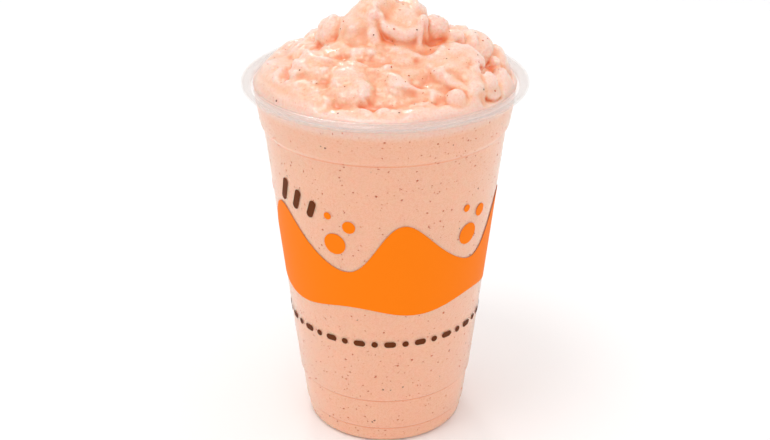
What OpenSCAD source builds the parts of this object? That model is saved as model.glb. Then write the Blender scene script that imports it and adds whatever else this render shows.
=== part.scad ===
// Strawberry smoothie heaped over the rim of a clear take-away cup.
// Millimetres, +Z up, origin at the centre of the foot ring, on the table.

/* [Cup] */
// Outer diameter across the rolled rim
rim_d = 95; // [80:0.5:110]
// Height from the table to the top of the rolled rim
cup_h = 126.4; // [100:0.2:155]
// Outer diameter of the foot, just above its rounded corner
base_d = 55.2; // [46:0.2:66]
// Thickness of the formed sheet
wall_t = 0.6; // [0.4:0.05:1]

/* [Rim] */
// Width of the rolled rim, across its section
roll_w = 4.2; // [3.4:0.1:5.2]
// Height of the rolled rim
roll_h = 3; // [2.4:0.1:4]
// How far round its section the sheet is curled, from the mouth over the top
curl_turn = 305; // [270:5:310]

/* [Ledges] */
// Distance from the top of the rim down to the stacking shoulder
shoulder_drop = 17; // [12:0.5:24]
// Height of the stacking shoulder
shoulder_h = 2.8; // [1.5:0.1:4]
// How far the shoulder steps out
shoulder_step = 1.3; // [0.5:0.1:2]
// How far the top of the body lies inside the mouth
shoulder_inset = 2.8; // [2:0.1:4]
// Height of the lower ledge above the table
ledge_z = 18.2; // [12:0.2:30]
// Height of the line above the foot
foot_z = 6; // [4:0.2:9]
// How far the foot line and the lower ledge step out
ledge_step = 0.55; // [0.3:0.05:0.9]
// Height of the foot line and of the lower ledge
ledge_h = 0.9; // [0.6:0.1:1.5]

/* [Foot] */
// Radius of the rounded corner at the foot
corner_r = 2.8; // [1.2:0.1:3.4]
// Width of the flat ring that the cup stands on
ring_w = 1.4; // [0.8:0.1:2.5]
// How far the base panel is raised above the table
recess_h = 2.5; // [1.5:0.1:3]
// How far the wall round the raised base panel leans in
recess_lean = 0.8; // [0.3:0.1:2]

/* [Drink] */
// Depth of the drink below the top of the rim, at the wall
fill_drop = 1.2; // [0.6:0.1:10]
// How far the drink crowns towards its middle, without its lobes
crown_h = 5; // [0:0.5:10]
// How softly neighbouring lobes run into each other
blend = 0.7; // [0.3:0.1:2]
// Height of the heap, as a share of its full height
heap_share = 1; // [0.8:0.05:1.2]

/* [Hidden] */

rim_r = rim_d / 2;
// Radius of the inner face where it turns into the roll
mouth_r = rim_r - roll_w;
roll_z = cup_h - roll_h / 2;
shoulder_z = cup_h - shoulder_drop;
base_r = base_d / 2;
// Radius of the body's outer face just below the shoulder
body_top_r = mouth_r - shoulder_inset;
// Radial room between the drink and the sheet
drink_gap = 0.02;
// Room between the highest line where the drink meets the cup and the top of the rim
lip_gap = 0.5;

arc_step = 9;
sectors = 72;
heap_rings = 22;
step_parts = 4;

// Lobes of the heap: [across, away, up, half width, half depth, half height, turn].
// Lengths are hundredths of the mouth radius, up is from the top of the rim,
// and the turn is in degrees about the vertical.
LOBES = [
    // summit: a tall horn, a lower one behind a scoop, and the block under them
    [-14, 5, 38, 20, 18, 25, 0],
    [21, 9, 34, 15, 16, 22, 0],
    [5, -2, 23, 35, 27, 21, 0],
    // left of the summit
    [-40, 5, 23, 12, 16, 17, 0],
    [-60, 12, 8, 20, 28, 16, 0],
    [-79, -16, -5, 25, 58, 21, -4],
    // beads and lobe right of the summit
    [39, 0, 34, 12, 12, 12, 0],
    [48, -7, 26, 9, 9, 9, 0],
    [65, 5, 14, 18, 22, 18, 0],
    [83, 9, 2, 16, 28, 16, 0],
    // ledge under the summit
    [-5, -28, 12, 51, 25, 21, 0],
    [42, -35, 9, 28, 28, 18, -15],
    // left front: the upper fold and the tongue below it
    [-42, -46, 5, 30, 28, 18, 20],
    [-28, -67, -2, 20, 23, 15, 0],
    [-55, -74, -7, 25, 18, 12, -35],
    // centre and right front
    [9, -62, 0, 21, 23, 15, 0],
    [35, -69, -5, 28, 21, 14, 10],
    [0, -87, -8, 62, 15, 12, 0],
    [67, -60, -2, 9, 21, 15, 22],
    [52, -76, 0, 7, 7, 7, 0],
    [78, -48, 0, 11, 11, 11, 0],
    [87, -21, -5, 13, 23, 14, 0],
    // back
    [0, 25, 16, 30, 30, 22, 0],
    [32, 48, 0, 39, 35, 18, -15],
    [-32, 48, 0, 32, 37, 20, 15],
    [0, 79, -9, 60, 21, 15, 0],
    [-72, 44, -9, 25, 32, 17, 25],
    [72, 46, -9, 23, 30, 18, -25]
];

// ---------- profiles: lists of [radius, height] ----------

// A soft step from one point to another
function step_out(r0, z0, r1, z1) = [
    for (i = [0 : step_parts])
        let (t = i / step_parts)
        [r0 + (r1 - r0) * t * t * (3 - 2 * t), z0 + (z1 - z0) * t]
];

// Part of an ellipse about [r, z], from angle a0 to a1
function arc(r, z, half_w, half_h, a0, a1) =
    let (n = ceil(abs(a1 - a0) / arc_step))
    [for (i = [0 : n]) let (a = a0 + (a1 - a0) * i / n) [r + half_w * cos(a), z + half_h * sin(a)]];

// Radius of the body's straight taper, outside, without its two small steps
function taper_r(z) =
    let (steps = 2 * ledge_step)
    base_r + (body_top_r - steps - base_r) * (z - corner_r) / (shoulder_z - corner_r);

// The wall from the foot's corner to the shoulder, moved in by inset
function body_side(inset) = concat(
    step_out(taper_r(foot_z) - inset, foot_z,
        taper_r(foot_z + ledge_h) + ledge_step - inset, foot_z + ledge_h),
    step_out(taper_r(ledge_z) + ledge_step - inset, ledge_z,
        taper_r(ledge_z + ledge_h) + 2 * ledge_step - inset, ledge_z + ledge_h),
    step_out(body_top_r - inset, shoulder_z,
        body_top_r + shoulder_step - inset, shoulder_z + shoulder_h)
);

// Outer face: from the middle of the base panel, round the foot and up the wall
function outer_face() = concat(
    [[0, recess_h], [base_r - corner_r - ring_w - recess_lean, recess_h], [base_r - corner_r - ring_w, 0]],
    arc(base_r - corner_r, corner_r, corner_r, corner_r, -90, 0),
    body_side(0)
);

// Inner face: from the middle of the floor, round the channel and up the wall
function inner_face(gap = 0) =
    let (t = wall_t + gap, floor_z = recess_h + t, channel_r = base_r - corner_r)
    concat(
        [[0, floor_z], [channel_r - ring_w - recess_lean + t, floor_z], [channel_r - ring_w + t, t]],
        arc(channel_r, corner_r, corner_r - t, corner_r - t, -90, 0),
        body_side(t)
    );

// The rolled rim: over the hollow of the roll, round its open end and back outside
function rolled_rim() =
    let (r = rim_r - roll_w / 2, end = 180 - curl_turn)
    concat(
        arc(r, roll_z, roll_w / 2 - wall_t, roll_h / 2 - wall_t, 180, end),
        arc(r, roll_z, roll_w / 2, roll_h / 2, end, 180)
    );

// ---------- the heap ----------

// Height of one lobe's top over a point. Past its edge it falls away along a straight slope.
function lobe_top(l, x, y) =
    let (
        unit = mouth_r / 100,
        dx = x - l[0] * unit,
        dy = y - l[1] * unit,
        u = norm([
            (dx * cos(l[6]) + dy * sin(l[6])) / (l[3] * unit),
            (dy * cos(l[6]) - dx * sin(l[6])) / (l[4] * unit)
        ]),
        edge = 0.85,
        edge_height = sqrt(1 - edge * edge),
        cap = u < edge ? sqrt(1 - u * u) : edge_height - (u - edge) * edge / edge_height
    )
    cup_h + heap_share * unit * (l[2] + l[5] * cap);

// Top of the drink without lobes
function crown(x, y) = cup_h - fill_drop + crown_h * (1 - (x * x + y * y) / (mouth_r * mouth_r));

// Height of the drink over a point: the tallest lobe there, with soft joins
function heap_top(x, y) =
    let (
        tops = concat([crown(x, y)], [for (l = LOBES) lobe_top(l, x, y)]),
        top = max(tops),
        weights = [for (h = tops) exp((h - top) / blend)]
    )
    top + blend * ln(weights * [for (w = weights) 1]);

// ---------- the pieces ----------

module cup() {
    color([0.93, 0.93, 0.92, 0.45])
        rotate_extrude($fn = 144)
            polygon(concat(
                outer_face(),
                rolled_rim(),
                [for (i = [len(inner_face()) - 1 : -1 : 0]) inner_face()[i]]
            ));
}

module smoothie() {
    side = inner_face(drink_gap);
    walls = len(side) - 1;
    neck = side[walls];
    angles = [for (i = [0 : sectors - 1]) i * 360 / sectors];

    // The wall leans out from the shoulder to the middle of the roll, and is upright above
    function wall_r(z) =
        let (share = min(1, (z - neck[1]) / (roll_z - neck[1])))
        neck[0] + (mouth_r - drink_gap - neck[0]) * share;
    function brim_point(a) =
        let (z = min(cup_h - lip_gap, heap_top(mouth_r * cos(a), mouth_r * sin(a))))
        [wall_r(z) * cos(a), wall_r(z) * sin(a), z];
    function heap_point(r, a) = [r * cos(a), r * sin(a), heap_top(r * cos(a), r * sin(a))];

    points = concat(
        [for (k = [1 : walls]) for (a = angles) [side[k][0] * cos(a), side[k][0] * sin(a), side[k][1]]],
        [for (a = angles) brim_point(a)],
        [for (k = [1 : heap_rings - 1]) for (a = angles) heap_point(mouth_r * (1 - k / heap_rings), a)],
        [heap_point(0, 0)]
    );
    rows = walls + heap_rings;
    function at(k, i) = k * sectors + i % sectors;
    // Two triangles, split along the shorter diagonal, so that the creases stay clean
    function patch(a, b, c, d) = norm(points[a] - points[c]) < norm(points[b] - points[d])
        ? [[a, b, c], [a, c, d]]
        : [[b, c, d], [b, d, a]];
    faces = concat(
        [[for (i = [0 : sectors - 1]) at(0, i)]],
        [for (k = [0 : walls - 2]) for (i = [0 : sectors - 1])
            [at(k, i), at(k + 1, i), at(k + 1, i + 1), at(k, i + 1)]],
        [for (k = [walls - 1 : rows - 2]) for (i = [0 : sectors - 1])
            each patch(at(k, i), at(k + 1, i), at(k + 1, i + 1), at(k, i + 1))],
        [for (i = [0 : sectors - 1]) [at(rows - 1, i), len(points) - 1, at(rows - 1, i + 1)]]
    );
    color("#F6BA9B") polyhedron(points, faces, convexity = 8);
}

cup();
smoothie();
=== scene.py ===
# %% [markdown]
# # A strawberry smoothie in a clear plastic cup
# The drink is half-frozen fruit and milk, blended thick enough to stand above the rim in folds.
# The cup is thin formed plastic, a little milky, so the drink shows through it slightly greyed.
# We load the solid model first. It fixes every size, and each piece below takes its place from it.

# %% Load the frame
import math

import bmesh
import bpy
import numpy as np
import openvdb
from mathutils import Euler, Matrix, Vector, noise


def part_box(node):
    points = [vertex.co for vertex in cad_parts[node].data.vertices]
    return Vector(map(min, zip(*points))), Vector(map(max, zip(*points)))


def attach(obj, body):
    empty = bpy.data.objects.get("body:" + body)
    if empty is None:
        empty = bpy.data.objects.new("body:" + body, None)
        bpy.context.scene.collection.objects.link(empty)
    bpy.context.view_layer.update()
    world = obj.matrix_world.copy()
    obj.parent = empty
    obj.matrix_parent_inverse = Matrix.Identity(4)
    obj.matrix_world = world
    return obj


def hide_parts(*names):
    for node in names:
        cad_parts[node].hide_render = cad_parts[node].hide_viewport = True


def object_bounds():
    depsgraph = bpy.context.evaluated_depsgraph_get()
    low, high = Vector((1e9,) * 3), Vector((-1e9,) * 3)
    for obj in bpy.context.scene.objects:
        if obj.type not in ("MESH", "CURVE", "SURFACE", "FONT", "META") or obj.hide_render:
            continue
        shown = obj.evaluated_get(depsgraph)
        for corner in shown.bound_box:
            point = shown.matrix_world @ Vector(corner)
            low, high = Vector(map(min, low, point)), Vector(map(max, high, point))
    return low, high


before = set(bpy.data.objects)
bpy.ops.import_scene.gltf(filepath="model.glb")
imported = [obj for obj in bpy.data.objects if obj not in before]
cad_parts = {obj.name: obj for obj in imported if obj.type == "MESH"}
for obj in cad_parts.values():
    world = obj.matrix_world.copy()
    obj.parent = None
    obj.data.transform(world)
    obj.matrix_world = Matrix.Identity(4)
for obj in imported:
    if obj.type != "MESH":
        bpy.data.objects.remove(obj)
cad_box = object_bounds()
MM = 0.001
cup_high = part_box("cup")[1]
rim_r, rim_top = cup_high[0] / MM, cup_high[2] / MM
print(f"rim {2 * rim_r:.1f} mm across, {rim_top:.1f} mm up; heap to {cad_box[1][2] / MM:.1f} mm")

# %% [markdown]
# ## The line of the wall
# The drink takes its outside from the cup, so the cup's inner line has to be known exactly.
# It could be typed in again, but then a change to the cup would leave a gap. The solid drink
# already follows the wall in even rings, so we read those rings from its mesh: every height that
# a full ring of points shares is a point of the wall's line.

# %% Read the wall's line from the solid drink
RING = 72            # points in each ring of the solid drink
ROLL_W, ROLL_H = 4.2, 3.0   # the rolled rim's section, in millimetres
SHEET = 0.6          # thickness of the plastic
BITE = 0.45          # how far the drink reaches into the wall, so that no air shows
BRIM_BITE = 0.15     # the same at the roll
LEAN_IN = 0.45       # how fast the heap draws away from the roll as it rises
LEAN_FOR = 4.5       # and for how many millimetres

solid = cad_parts["smoothie"].data
co = np.empty(len(solid.vertices) * 3)
solid.vertices.foreach_get("co", co)
co = co.reshape(-1, 3) / MM
rz = np.round(np.column_stack([np.hypot(co[:, 0], co[:, 1]), co[:, 2]]), 2)
places, counts = np.unique(rz, axis=0, return_counts=True)
rings = places[(counts >= RING) & (places[:, 1] < rim_top - 5)]
foot_mid = rings[rings[:, 1].argmin()][0] + 0.1
channel = rings[rings[:, 0] < foot_mid]
channel = channel[np.argsort(-channel[:, 1])]
wall = rings[rings[:, 0] >= foot_mid]
wall = wall[np.argsort(wall[:, 1])]
mouth_r, roll_z = rim_r - ROLL_W, rim_top - ROLL_H / 2
wall = np.vstack([wall, [mouth_r, roll_z]])


def wall_r(z):
    """Inner radius of the cup at a height, in millimetres."""
    return np.interp(z, wall[:, 1], wall[:, 0])


def bite(z):
    """How far into the plastic the drink reaches at a height."""
    return np.interp(z, [rim_top - ROLL_H - 3, rim_top - ROLL_H], [BITE, BRIM_BITE])


def clip_r(z):
    """How far out the drink may reach: just into the wall, then in and away from the roll."""
    return np.where(z < roll_z, wall_r(z), mouth_r - LEAN_IN * np.clip(z - roll_z, 0, LEAN_FOR)) + bite(z)


print(f"{len(channel)} + {len(wall)} points on the line, mouth radius {mouth_r:.1f} mm")

# %% [markdown]
# ## The heap
# The real heap is thick slush that was spooned on: soft folds, tongues and beads that lie on each
# other, with sharp creases where two of them meet. It could be sculpted by hand, or made of
# metaballs, which melt every crease away. We use a distance field instead. It is a block of numbers
# that says how far each point is from the surface, and in it a lump, a rope or a dent is one
# line of arithmetic, and the softness of each join is a number we choose. OpenVDB, which comes
# with Blender, then turns the block into a mesh.

# %% A block of space to model in
FINE = 0.48                               # millimetres between the points of the block
VOXEL = FINE
CUT_Z = rim_top - 3.2                     # the heap's mesh starts here; below it is plain wall
pad = 3 * VOXEL
low = np.array([-rim_r, -rim_r, CUT_Z - 2]) - pad
high = np.array([rim_r, rim_r, cad_box[1][2] / MM]) + pad
steps = np.ceil((high - low) / VOXEL).astype(int)
axes = [low[i] + VOXEL * np.arange(steps[i]) for i in range(3)]
X, Y, Z = np.meshgrid(*[a.astype(np.float32) for a in axes], indexing="ij", sparse=True)
R = np.hypot(X, Y)
print("block of", steps, "points")


def soft_union(a, b, k):
    h = np.maximum(k - np.abs(a - b), 0) / k
    return np.minimum(a, b) - h * h * k / 4


def soft_cut(a, b, k):
    """Takes shape b out of shape a."""
    h = np.maximum(k - np.abs(a + b), 0) / k
    return np.maximum(a, -b) + h * h * k / 4


def near(centre, reach):
    """The part of the block within reach of a point, and where its points are."""
    cut = []
    for i in range(3):
        a = int(np.clip(np.floor((centre[i] - reach - low[i]) / VOXEL), 0, steps[i]))
        b = int(np.clip(np.ceil((centre[i] + reach - low[i]) / VOXEL) + 1, 0, steps[i]))
        cut.append(slice(a, b))
    return tuple(cut), X[cut[0]] - centre[0], Y[:, cut[1]] - centre[1], Z[:, :, cut[2]] - centre[2]


MARGIN = 2.5         # how far round a lump its soft joins can reach


def lump(x, y, up, rx, ry, rz, turn=0, lean=0, k=0.9, out=False):
    """An egg of batter, or with out=True a hollow pressed by one. Up is from the rim's top."""
    global field
    centre = (x, y, rim_top + up)
    cut, dx, dy, dz = near(centre, max(rx, ry, rz) + MARGIN)
    m = Euler((math.radians(lean), 0, math.radians(turn))).to_matrix().transposed()
    p = [m[i][0] * dx + m[i][1] * dy + m[i][2] * dz for i in range(3)]
    radii = (rx, ry, rz)
    k0 = np.sqrt(sum((p[i] / radii[i]) ** 2 for i in range(3))) + 1e-6
    k1 = np.sqrt(sum((p[i] / radii[i] ** 2) ** 2 for i in range(3))) + 1e-6
    d = (k0 * (k0 - 1) / k1).astype(np.float32)
    field[cut] = soft_cut(field[cut], d, k) if out else soft_union(field[cut], d, k)


def smooth_path(points, parts=6):
    """A Catmull-Rom curve through given points of any number of columns."""
    p = np.array([points[0]] + list(points) + [points[-1]], float)
    rows = []
    for i in range(1, len(p) - 2):
        for t in np.arange(parts) / parts:
            a, b, c, d = p[i - 1], p[i], p[i + 1], p[i + 2]
            rows.append(0.5 * (2 * b + (c - a) * t + (2 * a - 5 * b + 4 * c - d) * t**2
                               + (3 * b - a - 3 * c + d) * t**3))
    return np.array(rows + [p[-2]])


def rope(points, k=0.9, out=False):
    """A rounded fold along (x, y, up, radius) points, or a groove with out=True."""
    global field
    path = smooth_path(points)
    path[:, 2] += rim_top
    for a, b in zip(path[:-1], path[1:]):
        mid, reach = (a[:3] + b[:3]) / 2, np.linalg.norm(b[:3] - a[:3]) / 2
        cut, dx, dy, dz = near(mid, reach + max(a[3], b[3]) + MARGIN)
        ax, ay, az = a[:3] - mid
        ux, uy, uz = b[:3] - a[:3]
        t = np.clip(((dx - ax) * ux + (dy - ay) * uy + (dz - az) * uz) / (ux**2 + uy**2 + uz**2), 0, 1)
        d = np.sqrt((dx - ax - t * ux) ** 2 + (dy - ay - t * uy) ** 2 + (dz - az - t * uz) ** 2)
        d = (d - a[3] - (b[3] - a[3]) * t).astype(np.float32)
        ropes[cut] = np.minimum(ropes[cut], d)
    cut, *_ = near(path[:, :3].mean(0), np.ptp(path[:, :3], axis=0).max() / 2 + path[:, 3].max() + MARGIN)
    field[cut] = soft_cut(field[cut], ropes[cut], k) if out else soft_union(field[cut], ropes[cut], k)
    ropes[cut] = FAR


# %% [markdown]
# We start from a low dome that meets the wall just under the rim. Then the lumps are laid from the
# back to the front and from the bottom up, the way a spoon would leave them.

# %% Lay the lumps: the dome and the back
FAR = 9.0            # a distance that no join reaches
BRIM = 1.2           # depth of the drink below the rim's top, at the wall
CROWN = 5.0          # how much higher the dome stands in the middle
field = (Z - (rim_top - BRIM + CROWN * (1 - (R / mouth_r) ** 2))).astype(np.float32)
ropes = np.full(tuple(steps), FAR, np.float32)

lump(0, 2, -14.5, 46, 46, 27, k=2)               # the mass that carries the rest
lump(0, 11, 7, 13, 13, 9.5, k=1.5)
lump(14, 20, 3.5, 16, 13, 6, turn=-15, lean=-18, k=1.2)
lump(-14, 21, 3, 14, 14, 6.4, turn=15, lean=-18, k=1.2)
lump(0, 33, -1.6, 24, 9, 5, lean=-20, k=0.9)
lump(-30, 20, -1.4, 11, 13, 5.6, turn=25, lean=-15)
lump(30, 21, -1.4, 10, 12, 5.8, turn=-25, lean=-15)
lump(-9, 27, 3.5, 7, 9, 4.2, turn=30, lean=-24, k=0.7)
lump(12, 31, 0.6, 8, 7, 4, turn=-20, lean=-24, k=0.7)
lump(24, 12, 7, 7, 8, 5, turn=-50, lean=-10, k=0.8)
lump(-21, 14, 6, 7, 8, 5, turn=40, lean=-15, k=0.8)
print(f"the dome and the back fill {(field < 0).mean():.1%} of the block")

# %% Lay the lumps: both sides and the summit
# left of the summit
lump(-33, -6, -1, 9.8, 23, 7.4, turn=-5, k=1)
lump(-25.5, 4, 4, 7, 11, 5.8, k=1)
lump(-17.2, 1.5, 12, 4.8, 6.4, 7, k=1.2)
# right of the summit
lump(35.5, 4, 2, 6.5, 10, 5.8, k=1)
lump(28, 2, 7, 7.6, 9, 7, k=0.9)
lump(37.2, -11, -0.5, 4.6, 10, 5, k=0.8)
# ledge under the summit
lump(-3, -8.5, 9.8, 19, 9, 4.4, lean=12, k=1.4)
lump(20, -15, 7.4, 12, 11, 4.6, turn=-8, lean=22, k=0.8)
# summit
lump(-2.5, 1, 16, 8.4, 8, 11.4, k=2)
lump(-8, -0.5, 13.6, 7.4, 8.4, 8.6, k=2.4)
lump(5.5, -2, 14.6, 9, 8.4, 8.8, k=1.6)
lump(8.4, 3, 15, 6, 7, 8.8, k=1.6)
rope([(-3.2, -3.4, 23.6, 1), (-3.9, -6.6, 19.6, 1.2), (-3.6, -9.8, 14, 1.8)], k=3)
rope([(-1.8, -5.4, 21.6, 1.2), (0.6, -8, 18.4, 1.7), (5, -9.6, 16.6, 2.1), (9.4, -8.4, 17.4, 1.9),
      (12.4, -5.2, 19.6, 1.4)], k=1.2)
lump(16.4, -3.4, 10.6, 4.4, 3.8, 2.8, k=1.4)
lump(16.2, -1, 15.2, 4.4, 4.4, 4.4, k=0.5)
lump(21.9, -2.6, 12.8, 3.7, 3.5, 3.7, k=0.35)
# steps under the summit's lip
lump(-9, -14, 8.6, 8, 5, 3.2, turn=10, lean=25, k=0.8)
lump(4, -15.5, 8.6, 6, 5, 3, turn=-20, lean=22, k=0.6)
rope([(2, -12, 12, 1.6), (8, -14, 10.6, 2), (15, -14.6, 9.6, 1.6)], k=0.9)
print(f"with the sides and the summit, {(field < 0).mean():.1%}")

# %% Lay the lumps: the front
# left front
lump(-25, -25, 0.6, 13, 13, 5, turn=-38, lean=16, k=1.4)
lump(-17.5, -17.5, 5.4, 12.6, 11, 5, turn=14, lean=22, k=0.9)
lump(-11.5, -25, 3.8, 8, 11, 4.8, turn=-6, lean=27, k=0.7)
lump(-8.2, -29.5, 2.4, 5.6, 6.4, 4.4, turn=-10, lean=30, k=1.2)
# centre front
lump(0, -37.5, -2.6, 27, 6.6, 4, lean=10, k=1)
lump(5.6, -25, 3, 9.4, 11, 4.2, lean=24, k=0.7)
lump(4.6, -27, 6.2, 3.4, 3.2, 2.2, k=1.8)
# right front
lump(15, -27, 0.6, 9, 12, 4, turn=8, lean=18, k=1.2)
lump(15, -38, -1.2, 12, 5, 3.2, turn=10, lean=12, k=0.3)
rope([(16, -22, 7.4, 1.6), (20.5, -25, 6, 2.2), (24, -27.4, 4.2, 1.4)], k=1.2)
rope([(25, -16, 6, 3.4), (27.4, -23, 4, 3.6), (27.6, -30, 0.8, 3.4), (25, -35, -1.8, 3)], k=2.2)
lump(22.2, -31.4, 2.4, 3.6, 3.6, 3.6, k=0.35)
lump(33.2, -21.5, 3, 4.7, 4.6, 4.3, k=0.4)
lump(38, -12, 1.4, 4, 8, 4, turn=12, k=0.9)
print(f"with the front, {(field < 0).mean():.1%}")

# %% Press the hollows
lump(5, -5.5, 24.2, 5.8, 5, 2.3, lean=36, out=True, k=2.4)      # scooped face of the summit
lump(-13, -15.6, 12, 2, 1.5, 1.5, out=True, k=2)
lump(-4.2, -16.6, 12, 2.4, 1.4, 1.2, out=True, k=1.8)
rope([(-26, -23.4, 7.2, 0.5), (-22, -24.8, 6.8, 1.1), (-18.6, -26, 6.4, 0.5)], out=True, k=3.2)
lump(-4.6, -35.4, 2, 2.2, 1.6, 1.2, out=True, k=2.6)
lump(14.6, -7.6, 14, 2.2, 1.8, 1.8, out=True, k=1.4)
lump(11.6, -27, 6.4, 3.4, 4.4, 2.2, lean=24, out=True, k=2.6)   # the smooth valley
lump(31, -17.4, 6.6, 2.1, 2, 2.6, out=True, k=1.2)
lump(31.4, -28.6, 1.4, 1.7, 1.5, 2.4, out=True, k=0.9)
rope([(23.6, -6, 13, 0.8), (24.6, -9, 11, 1.3)], out=True, k=1.4)
lump(-38.5, -3, 8, 1.6, 3, 1.4, turn=30, out=True, k=1.4)
print(f"with the hollows pressed, {(field < 0).mean():.1%}")

# %% [markdown]
# ## Small folds and crumbs
# Placing every wrinkle by hand would take days and look drawn. Chance does it better: short thin
# folds that run mostly round the heap, as they do when slush slumps, crumbs of ice half sunk in
# it, and shallow pits. Each asks the block how high the heap stands where it lands.

# %% Scatter small folds and crumbs
FOLDS, CRUMBS, PITS = 70, 100, 24
chance = np.random.default_rng(11)


def top_of(x, y):
    """How high the heap stands over a place, measured from the rim's top."""
    column = field[int(round((x - low[0]) / VOXEL)), int(round((y - low[1]) / VOXEL))]
    return low[2] + VOXEL * float(np.flatnonzero(column < 0)[-1]) - rim_top


def anywhere():
    turn, far = chance.uniform(0, 2 * math.pi), 0.88 * mouth_r * math.sqrt(chance.random())
    return far * math.cos(turn), far * math.sin(turn), turn


for _ in range(FOLDS):
    x, y, turn = anywhere()
    heading = turn + math.pi / 2 + chance.normal(0, 0.6)
    stride, bend, thick = chance.uniform(1.2, 2.6), chance.uniform(-0.35, 0.35), chance.uniform(0.55, 1.05)
    path = []
    for part in (0.45, 0.85, 1, 0.85, 0.45):
        path.append((x, y, top_of(x, y) - 0.1, thick * part))
        x, y = x + stride * math.cos(heading), y + stride * math.sin(heading)
        heading += bend
    rope(path, k=1.4)
for _ in range(CRUMBS):
    x, y, turn = anywhere()
    size = chance.uniform(0.6, 1.5)
    lump(x, y, top_of(x, y), size, size * chance.uniform(0.7, 1), size * 0.8, turn=math.degrees(turn), k=0.9)
for _ in range(PITS):
    x, y, turn = anywhere()
    size = chance.uniform(0.7, 1.1)
    along = math.degrees(turn) + 90      # level on the slope, so that no pit digs into the uphill side
    lump(x, y, top_of(x, y) + 0.8 * size, size * 2.4, size, size, turn=along, out=True, k=1.8)
print(FOLDS, "folds,", CRUMBS, "crumbs,", PITS, "pits")

# %% Keep it inside the cup
roundness = (1 + 3 * np.clip((Z - rim_top) / 3, 0, 1)).astype(np.float32)     # sharp at the wall, soft above
field = soft_cut(field, (clip_r(Z) - R).astype(np.float32), roundness)
print(f"field from {field.min():.1f} to {field.max():.1f} mm")

# %% [markdown]
# ## From numbers to a mesh
# OpenVDB walks the block and puts a face wherever the distance changes sign. We cut the result
# level just under the rim and loft the open edge down the wall's line to the floor, so that the
# plain wall costs few faces and the whole drink is still one closed skin.

# %% Skin the heap
grid = openvdb.FloatGrid(float(FAR))
grid.copyFromArray(np.ascontiguousarray(np.minimum(field, FAR)))
points, quads = grid.convertToQuads(isovalue=0.0)
points = points * VOXEL + low
order = np.lexsort(points.round(5).T)      # OpenVDB works in parallel and hands points out in any order
rank = np.empty(len(order), int)
rank[order] = np.arange(len(order))
points, quads = points[order], rank[quads]
quads = np.take_along_axis(quads, (quads.argmin(1)[:, None] + np.arange(4)) % 4, 1)
quads = quads[np.lexsort(quads.T)]
bm = bmesh.new()
verts = [bm.verts.new(p) for p in points]
for q in quads:
    bm.faces.new([verts[i] for i in q])
bmesh.ops.bisect_plane(bm, geom=bm.verts[:] + bm.edges[:] + bm.faces[:], dist=1e-4,
                       plane_co=(0, 0, CUT_Z), plane_no=(0, 0, 1), clear_inner=True)
print(len(bm.verts), "points in the heap")

# %% Loft the wall down to the floor
BAND_Z = rim_top - 5.4       # above this, up to the roll, the drink is painted paler: painted light against the roll's shade
edge = [e for e in bm.edges if e.is_boundary]
loop = [edge[0].verts[0]]
step = edge[0]
while True:
    step_to = step.other_vert(loop[-1])
    if step_to is loop[0]:
        break
    loop.append(step_to)
    step = next(e for e in step_to.link_edges if e.is_boundary and e is not step)
turn_way = sum(a.co.x * b.co.y - a.co.y * b.co.x for a, b in zip(loop, loop[1:]))
if turn_way < 0:
    loop.reverse()
corners = [z for (r0, z0), (r, z), (r1, z1) in zip(wall, wall[1:], wall[2:])
           if (r1 - r) / (z1 - z) - (r - r0) / (z - z0) > 0.2]      # where the wall steps outward
heights = [z for z in wall[:, 1] if z < CUT_Z - 1] + [z + d for z in corners for d in (-0.8, -0.3, 0.12)]
heights += [BAND_Z, BAND_Z - 2]
line = [(float(wall_r(z)), z) for z in sorted(set(heights), reverse=True)]
line += [(r, z) for r, z in channel[::-1]]
into = [float(bite(z)) for r, z in line[:len(line) - len(channel)]] + [-BITE] * len(channel)
angles = [math.atan2(v.co.y, v.co.x) for v in loop]
for v, a in zip(loop, angles):
    r = float(clip_r(CUT_Z))
    v.co = (r * math.cos(a), r * math.sin(a), CUT_Z)
above = loop
for (r, z), extra in zip(line, into):
    drop = BITE if z < wall[0][1] + 1 else 0
    row = [bm.verts.new(((r + extra) * math.cos(a), (r + extra) * math.sin(a), z - drop)) for a in angles]
    for i in range(len(row)):
        j = (i + 1) % len(row)
        bm.faces.new((above[i], row[i], row[j], above[j]))
    above = row
hub = bm.verts.new((0, 0, above[0].co.z))
for i in range(len(above)):
    bm.faces.new((above[i], hub, above[(i + 1) % len(above)]))
bmesh.ops.recalc_face_normals(bm, faces=bm.faces[:])
heap_mesh = bpy.data.meshes.new("smoothie_heap")
bm.to_mesh(heap_mesh)
bm.free()
heap = bpy.data.objects.new("smoothie_heap", heap_mesh)
bpy.context.collection.objects.link(heap)
print(len(heap_mesh.polygons), "faces in the drink, wall included")

# %% [markdown]
# ## Live surface
# Eggs and ropes of arithmetic are too even. We nudge every point by soft noise: a slow wave that
# bends the folds, a quicker one that dimples them, and in patches a fine grain of crushed ice.
# Points at the wall stay where they are. Then we measure how hollow the surface is around each
# point, and the material paints the hollows deeper in colour and the crests paler: painted shade
# and painted light for the light that has to bounce between two folds.

# %% Nudge the points
noise.seed_set(3)      # without this, Blender's soft noise starts from the clock


def noise_at(co, size, seed):
    """Soft noise, one vector for each point, for waves of a size in millimetres."""
    shift = Vector((seed * 17.3, seed * 5.1, seed * 9.7))
    return np.array([noise.noise_vector(Vector(c) / size + shift) for c in co])


count = len(heap_mesh.vertices)
co = np.empty(count * 3)
heap_mesh.vertices.foreach_get("co", co)
co = co.reshape(-1, 3)
top = np.flatnonzero(co[:, 2] > roll_z)
p = co[top]
free = np.clip((clip_r(p[:, 2]) - np.hypot(p[:, 0], p[:, 1]) - 0.3) / 2, 0, 1)[:, None]
p = p + free * (0.7 * noise_at(p, 9, 1) + 0.2 * noise_at(p, 4, 2))
co[top] = p
heap_mesh.vertices.foreach_set("co", co.ravel())

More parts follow.
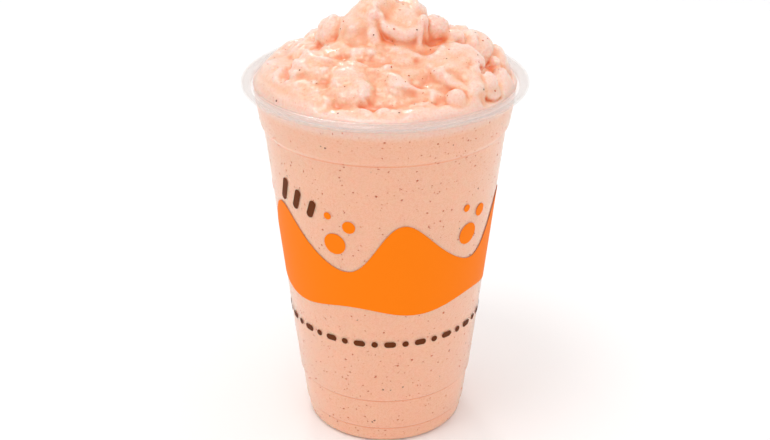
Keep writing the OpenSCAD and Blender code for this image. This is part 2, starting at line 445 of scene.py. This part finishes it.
# %% Smooth, then fold and grain
WET = 0.1            # against the plastic the drink looks as deep in colour as in a slight hollow
STEP_SHADE = 0.45    # light is lost where the wall steps
PAINTED_LIGHT_BAND = -0.26    # painted light: the drink just under the roll is painted paler, to lift the shade the roll casts
NEAR_PASSES, WIDE_PASSES = 31, 110      # how far round a point its two mean surfaces are taken
ends = np.empty(len(heap_mesh.edges) * 2, int)
heap_mesh.edges.foreach_get("vertices", ends)
ends = ends.reshape(-1, 2)
links = np.bincount(ends.ravel(), minlength=count)[:, None]


def relax(values, times, share=0.5):
    """Moves each value towards the mean of its neighbours' values."""
    for _ in range(times):
        total = np.zeros_like(values)
        for k in range(values.shape[1]):
            total[:, k] = (np.bincount(ends[:, 0], values[ends[:, 1], k], count)
                           + np.bincount(ends[:, 1], values[ends[:, 0], k], count))
        values = values + share * (total / links - values)
    return values


inside = np.zeros((count, 1))
inside[top] = free
co += inside * (relax(co, 2) - co)
heap_mesh.vertices.foreach_set("co", co.ravel())
heap_mesh.update()
normal = np.empty(count * 3)
heap_mesh.vertices.foreach_get("normal", normal)
normal = normal.reshape(-1, 3)
p = co[top]
patches = np.clip(noise_at(p, 11, 5)[:, :1] * 3 - 0.2, 0, 1)
grain = noise_at(p, 1.1, 6)[:, :1] + 0.5 * noise_at(p, 2.2, 7)[:, :1]
folds = np.abs(noise_at(p, 7, 8)[:, :1]) * 0.7 + np.abs(noise_at(p, 3, 9)[:, :1]) * 0.25 - 0.2
co[top] += free * normal[top] * (folds + grain * (0.08 + 0.2 * patches))
near_mean = relax(co, int(NEAR_PASSES * (FINE / VOXEL) ** 2))
wide_mean = relax(near_mean, int(WIDE_PASSES * (FINE / VOXEL) ** 2))
# Painted shade: how hollow each point is sets how deep, or how pale, the material paints it.
hollow = ((0.7 * (near_mean - co) + 0.35 * (wide_mean - co)) * normal).sum(1, keepdims=True)
hollow = relax(hollow, 3)
hollow[co[:, 2] < roll_z] = WET
# Painted light: the band of drink under the roll is painted paler against the roll's shade.
hollow[(co[:, 2] < roll_z) & (co[:, 2] > BAND_Z - 0.1)] = PAINTED_LIGHT_BAND
for z in corners:
    hollow[np.abs(co[:, 2] - z) < 0.13] = STEP_SHADE
heap_mesh.vertices.foreach_set("co", co.ravel())
tone = heap_mesh.attributes.new("hollow", "FLOAT", "POINT")
tone.data.foreach_set("value", hollow.ravel().astype(np.float32))
heap_mesh.transform(Matrix.Scale(MM, 4))
heap_mesh.polygons.foreach_set("use_smooth", [True] * len(heap_mesh.polygons))
heap_mesh.update()
print("hollow, by share of points:", np.percentile(hollow[top], [2, 10, 50, 90, 98]).round(2))

# %% [markdown]
# ## What the drink is made of
# Fruit, milk and fine ice scatter light just under the surface. That is subsurface scattering,
# and it reaches further in red than in blue, which gives part of the warm glow in the creases.
# The rest is painted shade: a colour ramp on the hollow measure paints the creases deep
# orange-red and the crests pale.

# %% The smoothie's material
def new_material(name):
    m = bpy.data.materials.new(name)
    m.use_nodes = True
    return m, m.node_tree.nodes, m.node_tree.links, m.node_tree.nodes["Principled BSDF"]


smoothie_mat, nodes, join, skin = new_material("blended_fruit")
hollow_in = nodes.new("ShaderNodeAttribute")
hollow_in.attribute_name = "hollow"
ramp = nodes.new("ShaderNodeMapRange")
ramp.inputs["From Min"].default_value = -0.35
ramp.inputs["From Max"].default_value = 0.6
join.new(hollow_in.outputs["Fac"], ramp.inputs["Value"])
# Painted light and shade: this ramp paints crests pale and hollows a deep orange-red.
painted_shade_colours = nodes.new("ShaderNodeValToRGB")
painted_shade_colours.color_ramp.elements[0].color = (0.96, 0.66, 0.56, 1)
painted_shade_colours.color_ramp.elements[1].color = (0.94, 0.27, 0.10, 1)
middle = painted_shade_colours.color_ramp.elements.new(0.4)
middle.color = (0.985, 0.545, 0.36, 1)
join.new(ramp.outputs["Result"], painted_shade_colours.inputs["Fac"])
place = nodes.new("ShaderNodeTexCoord")
pulp = nodes.new("ShaderNodeTexNoise")
pulp.inputs["Scale"].default_value = 1400
pulp.inputs["Detail"].default_value = 3
pulp.inputs["Roughness"].default_value = 0.7
share = nodes.new("ShaderNodeMapRange")
share.inputs["From Min"].default_value = 0.46
share.inputs["From Max"].default_value = 0.72
share.inputs["To Max"].default_value = 0.42
blend = nodes.new("ShaderNodeMix")
blend.data_type = "RGBA"
blend.inputs["B"].default_value = (0.86, 0.30, 0.16, 1)
join.new(place.outputs["Object"], pulp.inputs["Vector"])
join.new(pulp.outputs["Fac"], share.inputs["Value"])
join.new(share.outputs["Result"], blend.inputs["Factor"])
join.new(painted_shade_colours.outputs["Color"], blend.inputs["A"])
join.new(blend.outputs["Result"], skin.inputs["Base Color"])
ice = nodes.new("ShaderNodeTexNoise")
ice.inputs["Scale"].default_value = 700
ice.inputs["Detail"].default_value = 3
crust = nodes.new("ShaderNodeBump")
crust.inputs["Strength"].default_value = 0.55
crust.inputs["Distance"].default_value = 0.45 * MM
join.new(place.outputs["Object"], ice.inputs["Vector"])
join.new(ice.outputs["Fac"], crust.inputs["Height"])
join.new(crust.outputs["Normal"], skin.inputs["Normal"])
skin.inputs["Subsurface Weight"].default_value = 1.0
skin.inputs["Subsurface Radius"].default_value = (1.0, 0.5, 0.35)
skin.inputs["Subsurface Scale"].default_value = 2.1 * MM
skin.inputs["Roughness"].default_value = 0.32
skin.inputs["Specular IOR Level"].default_value = 0.5
skin.inputs["Coat Weight"].default_value = 0.45
skin.inputs["Coat Roughness"].default_value = 0.13
heap_mesh.materials.append(smoothie_mat)
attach(heap, "root")
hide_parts("smoothie")
print(smoothie_mat.name, "has", len(nodes), "nodes")

# %% [markdown]
# ## Seeds and flecks
# A blender breaks the fruit's seeds and skin into specks, most of them under a millimetre. They
# could be painted in the material, but real specks stand a little proud and catch the light, so
# each kind is one joined mesh of small true shapes, strewn by seeded chance. On the heap they lie
# half sunk in the surface. Along the wall they press against the plastic.

# %% Strew the specks
rng = np.random.default_rng(5)


def strewn_on_heap(many, apart):
    """Random places on the open surface, each this far from the others, with the way out of it."""
    polygons = heap_mesh.polygons
    centres = np.empty(len(polygons) * 3)
    polygons.foreach_get("center", centres)
    ways = np.empty(len(polygons) * 3)
    polygons.foreach_get("normal", ways)
    areas = np.empty(len(polygons))
    polygons.foreach_get("area", areas)
    centres, ways = centres.reshape(-1, 3) / MM, ways.reshape(-1, 3)
    areas[centres[:, 2] < rim_top - 0.3] = 0
    kept = []
    for one in rng.choice(len(areas), many * 4, p=areas / areas.sum()):
        if all(math.dist(centres[one], centres[other]) > apart for other in kept):
            kept.append(one)
    kept = kept[:many]
    return centres[kept], ways[kept]


def strewn_on_wall(many):
    """Random places just inside the plastic, with the way out."""
    turn = rng.uniform(0, 2 * math.pi, many)
    z = rng.uniform(wall[0][1] + 1, roll_z - 3, many)
    out = np.column_stack([np.cos(turn), np.sin(turn), np.zeros(many)])
    return out * (wall_r(z) + bite(z))[:, None] + np.column_stack([0 * z, 0 * z, z]), out


def specks(name, places, ways, sizes, flat, rough, colour_a, colour_b, sink):
    """One mesh of many small eggs, flattened along the way out, each a little uneven."""
    bm = bmesh.new()
    for c, way, size in zip(places, ways, sizes):
        made = bmesh.ops.create_icosphere(bm, subdivisions=1, radius=1)["verts"]
        long = rng.uniform(0.35, 1.0)
        spin = Euler((0, 0, rng.uniform(0, 6.28))).to_matrix()
        stand = Vector(way).to_track_quat("Z", "Y").to_matrix()
        for v in made:
            q = v.co * (1 + rough * rng.uniform(-1, 1))
            q = stand @ spin @ Vector((q.x * size, q.y * size * long, q.z * size * flat))
            v.co = (q + Vector(c) - Vector(way) * size * flat * sink) * MM
    mesh = bpy.data.meshes.new(name)
    bm.to_mesh(mesh)
    bm.free()
    mesh.polygons.foreach_set("use_smooth", [True] * len(mesh.polygons))
    piece = bpy.data.objects.new(name, mesh)
    bpy.context.collection.objects.link(piece)
    m, nodes, join, skin = new_material(name + "_finish")
    spots = nodes.new("ShaderNodeTexNoise")
    spots.inputs["Scale"].default_value = 220
    tint = nodes.new("ShaderNodeValToRGB")
    tint.color_ramp.elements[0].position, tint.color_ramp.elements[1].position = 0.35, 0.65
    tint.color_ramp.elements[0].color = colour_a
    tint.color_ramp.elements[1].color = colour_b
    join.new(spots.outputs["Fac"], tint.inputs["Fac"])
    join.new(tint.outputs["Color"], skin.inputs["Base Color"])
    skin.inputs["Roughness"].default_value = 0.35
    skin.inputs["Specular IOR Level"].default_value = 0.2
    mesh.materials.append(m)
    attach(piece, "root")
    print(name, len(places), "pieces,", len(mesh.polygons), "faces")
    return piece


# %% The two kinds of speck
HEAP_SEEDS, WALL_SEEDS, SEEDS_APART = 36, 84, 7
on_heap, on_wall = strewn_on_heap(HEAP_SEEDS, SEEDS_APART), strewn_on_wall(WALL_SEEDS)
specks("seeds", np.vstack([on_heap[0], on_wall[0]]), np.vstack([on_heap[1], on_wall[1]]),
       rng.uniform(0.22, 0.45, HEAP_SEEDS + WALL_SEEDS), flat=0.35, rough=0.1,
       colour_a=(0.12, 0.02, 0.008, 1), colour_b=(0.28, 0.06, 0.02, 1), sink=0.4)

HEAP_FLECKS, WALL_FLECKS, FLECKS_APART = 150, 2500, 1
on_heap, on_wall = strewn_on_heap(HEAP_FLECKS, FLECKS_APART), strewn_on_wall(WALL_FLECKS)
specks("fruit_flecks", np.vstack([on_heap[0], on_wall[0]]), np.vstack([on_heap[1], on_wall[1]]),
       0.17 + 0.33 * rng.random(HEAP_FLECKS + WALL_FLECKS) ** 2, flat=0.22, rough=0.25,
       colour_a=(0.58, 0.08, 0.03, 1), colour_b=(0.82, 0.22, 0.08, 1), sink=0.3)

# %% [markdown]
# ## The print
# Such cups are printed on the outside with one or two opaque inks. Ours carries no name: a wave
# round the cup with drops above its troughs, three leaning strokes, and a ring of dots and
# dashes. Each ink is a film with real edges, laid on the wall's own line so that it can't float
# or sink when the taper changes. A point of the film is a distance round the cup and a height.

# %% Lay the inks
INK = 0.05            # thickness of a film of ink
INK_GAP = 0.04        # between the wall and the film, so that the two never flicker
WAVE_LOW, WAVE_TOP, WAVE_SWING = 55.5, 79.5, 9.0
WAVES = 5
FRONT = math.radians(-78)     # where one crest of the wave stands


def ink_point(turn, z, lift):
    r = wall_r(z) + SHEET + INK_GAP + lift
    return (r * math.cos(turn) * MM, r * math.sin(turn) * MM, z * MM)


def ink_band(bm, low_edge, high_edge, columns=720, rows=10):
    """A closed film all round the cup between two wavy edges."""
    layers = []
    for lift in (0, INK):
        grid = []
        for i in range(columns):
            turn = 2 * math.pi * i / columns
            a, b = low_edge(turn), high_edge(turn)
            up = [a + (b - a) * j / rows for j in range(rows + 1)]
            grid.append([bm.verts.new(ink_point(turn, z, lift)) for z in up])
        layers.append(grid)
    inner, outer = layers
    for i in range(columns):
        k = (i + 1) % columns
        for j in range(rows):
            bm.faces.new((outer[i][j], outer[k][j], outer[k][j + 1], outer[i][j + 1]))
            bm.faces.new((inner[i][j], inner[i][j + 1], inner[k][j + 1], inner[k][j]))
        bm.faces.new((inner[i][0], inner[k][0], outer[k][0], outer[i][0]))
        bm.faces.new((inner[i][rows], outer[i][rows], outer[k][rows], inner[k][rows]))


def ink_spot(bm, turn, z, half_long, half_wide, lean, points=40):
    """A dot, or a stroke with round ends, at a place on the wall. Lean is in degrees."""
    shape = []
    for i in range(points):
        a = 2 * math.pi * i / points
        u = math.copysign(half_long - half_wide, math.cos(a)) + half_wide * math.cos(a)
        v = half_wide * math.sin(a)
        c, s = math.cos(math.radians(lean)), math.sin(math.radians(lean))
        shape.append((u * c - v * s, u * s + v * c))
    r = float(wall_r(z)) + SHEET
    layers = []
    for lift in (0, INK):
        hub = bm.verts.new(ink_point(turn, z, lift))
        mid = [bm.verts.new(ink_point(turn + 0.5 * u / r, z + 0.5 * v, lift)) for u, v in shape]
        rim = [bm.verts.new(ink_point(turn + u / r, z + v, lift)) for u, v in shape]
        layers.append((hub, mid, rim))
    (hub0, mid0, rim0), (hub1, mid1, rim1) = layers
    for i in range(points):
        k = (i + 1) % points
        bm.faces.new((hub1, mid1[i], mid1[k]))
        bm.faces.new((mid1[i], rim1[i], rim1[k], mid1[k]))
        bm.faces.new((hub0, mid0[k], mid0[i]))
        bm.faces.new((mid0[k], rim0[k], rim0[i], mid0[i]))
        bm.faces.new((rim1[i], rim0[i], rim0[k], rim1[k]))


def ink_piece(name, bm, colour, dark):
    mesh = bpy.data.meshes.new(name)
    bm.to_mesh(mesh)
    bm.free()
    mesh.polygons.foreach_set("use_smooth", [True] * len(mesh.polygons))
    mesh.set_sharp_from_angle(angle=math.radians(50))
    piece = bpy.data.objects.new(name, mesh)
    bpy.context.collection.objects.link(piece)
    m, nodes, join, skin = new_material(name + "_finish")
    patch = nodes.new("ShaderNodeTexNoise")
    patch.inputs["Scale"].default_value = 900
    mix = nodes.new("ShaderNodeMix")
    mix.data_type = "RGBA"
    mix.inputs["A"].default_value = colour
    mix.inputs["B"].default_value = dark
    join.new(patch.outputs["Fac"], mix.inputs["Factor"])
    join.new(mix.outputs["Result"], skin.inputs["Base Color"])
    skin.inputs["Roughness"].default_value = 0.55
    skin.inputs["Specular IOR Level"].default_value = 0.08
    mesh.materials.append(m)
    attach(piece, "root")
    print(name, len(mesh.polygons), "faces")
    return piece


def wave_foot(turn):
    return WAVE_LOW + 1.5 * math.cos(WAVES * (turn - FRONT) + 2.6)


def wave_crest(turn):
    phase = WAVES * (turn - FRONT)
    return WAVE_TOP + WAVE_SWING * math.cos(phase + 0.3 * math.sin(phase + 1))


# %% The orange wave and its drops
orange = bmesh.new()
ink_band(orange, wave_foot, wave_crest)
for i in range(WAVES):
    trough = FRONT + 2 * math.pi * (i + 0.5) / WAVES
    ink_spot(orange, trough - 0.03, WAVE_TOP + 1, 3.8, 3.8, 0)
    ink_spot(orange, trough + 0.11, WAVE_TOP + 8, 2.2, 2.2, 0)
    ink_spot(orange, trough - 0.08, WAVE_TOP + 11, 1.3, 1.3, 0)
ink_piece("orange_print", orange, (1.0, 0.23, 0.004, 1), (1.0, 0.2, 0.0, 1))

# %% The brown ring and strokes
MARKS, MARK_Z = 40, 42.6            # dots and dashes in the ring, and its height
STROKES_Z, STROKE_STEP = 94.5, 9.5  # height of the first stroke, and degrees between strokes
brown = bmesh.new()
for i in range(MARKS):
    turn = FRONT + 2 * math.pi * i / MARKS
    ink_spot(brown, turn, MARK_Z, 2.0 if i % 2 else 1.1, 1.1, 0)
for i in range(3):
    for start in (-147, 69):
        turn = math.radians(start + STROKE_STEP * i)
        ink_spot(brown, turn, STROKES_Z - 1.6 * i, 4.6 - 0.6 * i, 1.3, 68)
ink_piece("brown_print", brown, (0.15, 0.036, 0.008, 1), (0.12, 0.026, 0.005, 1))

# %% [markdown]
# ## The cup
# Formed polypropylene is clear but not like glass: a thin wall lets light straight through and only
# greys it a little, while the thick roll at the rim looks milky. Real refraction would draw the
# wall's inside as a bright line that thin plastic does not have, so we mix see-through with a
# thin milk, more of it in the roll, and leave the gloss to the surface. A slow bump gives the
# slight unevenness that drawing the hot sheet leaves.

# %% The cup's material
plastic, nodes, join, gloss = new_material("formed_plastic")
gloss.inputs["Base Color"].default_value = (0.82, 0.72, 0.675, 1)
gloss.inputs["Roughness"].default_value = 0.14
gloss.inputs["Specular IOR Level"].default_value = 0.5
where = nodes.new("ShaderNodeTexCoord")
split = nodes.new("ShaderNodeSeparateXYZ")
milk = nodes.new("ShaderNodeMapRange")
milk.inputs["From Min"].default_value = (rim_top - ROLL_H - 1.5) * MM
milk.inputs["From Max"].default_value = (rim_top - ROLL_H + 0.4) * MM
milk.inputs["To Min"].default_value = 0.02
milk.inputs["To Max"].default_value = 0.21
join.new(where.outputs["Object"], split.inputs["Vector"])
join.new(split.outputs["Z"], milk.inputs["Value"])
join.new(milk.outputs["Result"], gloss.inputs["Alpha"])
drawn = nodes.new("ShaderNodeTexNoise")
drawn.inputs["Scale"].default_value = 60
drawn.inputs["Detail"].default_value = 1
ripple = nodes.new("ShaderNodeBump")
ripple.inputs["Strength"].default_value = 0.06
ripple.inputs["Distance"].default_value = 0.3 * MM
join.new(where.outputs["Object"], drawn.inputs["Vector"])
join.new(drawn.outputs["Fac"], ripple.inputs["Height"])
join.new(ripple.outputs["Normal"], gloss.inputs["Normal"])
shine = nodes.new("ShaderNodeBsdfGlossy")
shine.inputs["Roughness"].default_value = 0.18
over = nodes.new("ShaderNodeMixShader")
over.inputs["Fac"].default_value = 0.04
join.new(ripple.outputs["Normal"], shine.inputs["Normal"])
join.new(gloss.outputs["BSDF"], over.inputs[1])
join.new(shine.outputs["BSDF"], over.inputs[2])
join.new(over.outputs["Shader"], nodes["Material Output"].inputs["Surface"])
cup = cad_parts["cup"]
cup.data.materials.clear()
cup.data.materials.append(plastic)
print(plastic.name, "has", len(nodes), "nodes")

# %% [markdown]
# ## Floor
# A real product table is a sheet of white card that curves up behind the thing, so that no line
# crosses the background. We sweep one profile sideways: flat floor, quarter round, upright.

# %% Floor
FLOOR_BACK, BEND, FLOOR_WIDE, CARD_TOP = 1.2, 0.5, 12, 3      # metres
quarter = [(FLOOR_BACK + BEND * math.sin(a), BEND - BEND * math.cos(a))
           for a in np.linspace(0, math.pi / 2, 10)]
profile = [(-FLOOR_WIDE, 0)] + quarter + [(FLOOR_BACK + BEND, CARD_TOP)]
bm = bmesh.new()
rows = [[bm.verts.new((x, y, z)) for x in (-FLOOR_WIDE, FLOOR_WIDE)] for y, z in profile]
for a, b in zip(rows, rows[1:]):
    bm.faces.new((a[0], a[1], b[1], b[0]))
floor_mesh = bpy.data.meshes.new("studio_floor")
bm.to_mesh(floor_mesh)
bm.free()
floor = bpy.data.objects.new("studio_floor", floor_mesh)
bpy.context.collection.objects.link(floor)
white, nodes, join, matte = new_material("studio_white")
matte.inputs["Base Color"].default_value = (0.96, 0.96, 0.96, 1)
matte.inputs["Roughness"].default_value = 0.8
floor_mesh.materials.append(white)
print("card with", len(floor_mesh.polygons), "faces")

# %% [markdown]
# ## Light
# The drink glows because light comes at it from everywhere and leaks through it. So most of our
# light is the sky itself, a little weaker at the sides than above, and the two lamps only add
# what a sky can't: one above for the shade under the folds and the glints on the balls, and a
# small window behind, whose reflection is the wet gloss on every ridge.

# %% Sky and lamps
world = bpy.data.worlds.new("studio")
bpy.context.scene.world = world
world.use_nodes = True
sky, join = world.node_tree.nodes, world.node_tree.links
where = sky.new("ShaderNodeTexCoord")
split = sky.new("ShaderNodeSeparateXYZ")
shade = sky.new("ShaderNodeValToRGB")
join.new(where.outputs["Generated"], split.inputs["Vector"])
join.new(split.outputs["Z"], shade.inputs["Fac"])
join.new(shade.outputs["Color"], sky["Background"].inputs["Color"])
shade.color_ramp.elements[0].color = (0.93, 0.93, 0.93, 1)
shade.color_ramp.elements[1].color = (1, 1, 1, 1)
shade.color_ramp.elements[1].position = 0.8
sky["Background"].inputs["Strength"].default_value = 0.96


def softbox(name, place, aim, size, watts):
    lamp = bpy.data.lights.new(name, "AREA")
    lamp.shape = "DISK"
    lamp.size, lamp.energy = size, watts
    box = bpy.data.objects.new(name, lamp)
    box.location = place
    box.rotation_euler = (Vector(aim) - Vector(place)).to_track_quat("-Z", "Y").to_euler()
    bpy.context.collection.objects.link(box)


softbox("window", (-0.15, 0.7, 0.75), (0, 0, 0.12), 0.16, 0.8)
softbox("overhead", (-0.18, -0.2, 0.9), (0, 0, 0.1), 0.3, 1.4)
print("sky and", len(bpy.data.lights), "lamps")

# %% [markdown]
# ## Camera
# It looks down at the cup by about 25 degrees from half a metre away, near enough for the taper
# of the cup to look stronger than it is.

# %% Camera
FOCAL, SENSOR = 64.7, 36                  # millimetres
CAMERA_BACK, CAMERA_UP = 0.4322, 0.2775   # metres from the middle of the cup, and above the floor
LOOK_DOWN = 25.31                         # degrees
lens = bpy.data.cameras.new("camera")
lens.sensor_width = SENSOR
lens.lens = FOCAL
lens.clip_start = 0.01
camera = bpy.data.objects.new("camera", lens)
camera.location = (0, -CAMERA_BACK, CAMERA_UP)
camera.rotation_euler = (math.radians(90 - LOOK_DOWN), 0, 0)
bpy.context.collection.objects.link(camera)
bpy.context.scene.camera = camera
bpy.context.scene.view_settings.view_transform = "Standard"
print(f"camera {math.hypot(CAMERA_BACK, CAMERA_UP):.2f} m away, looking down {LOOK_DOWN} degrees")
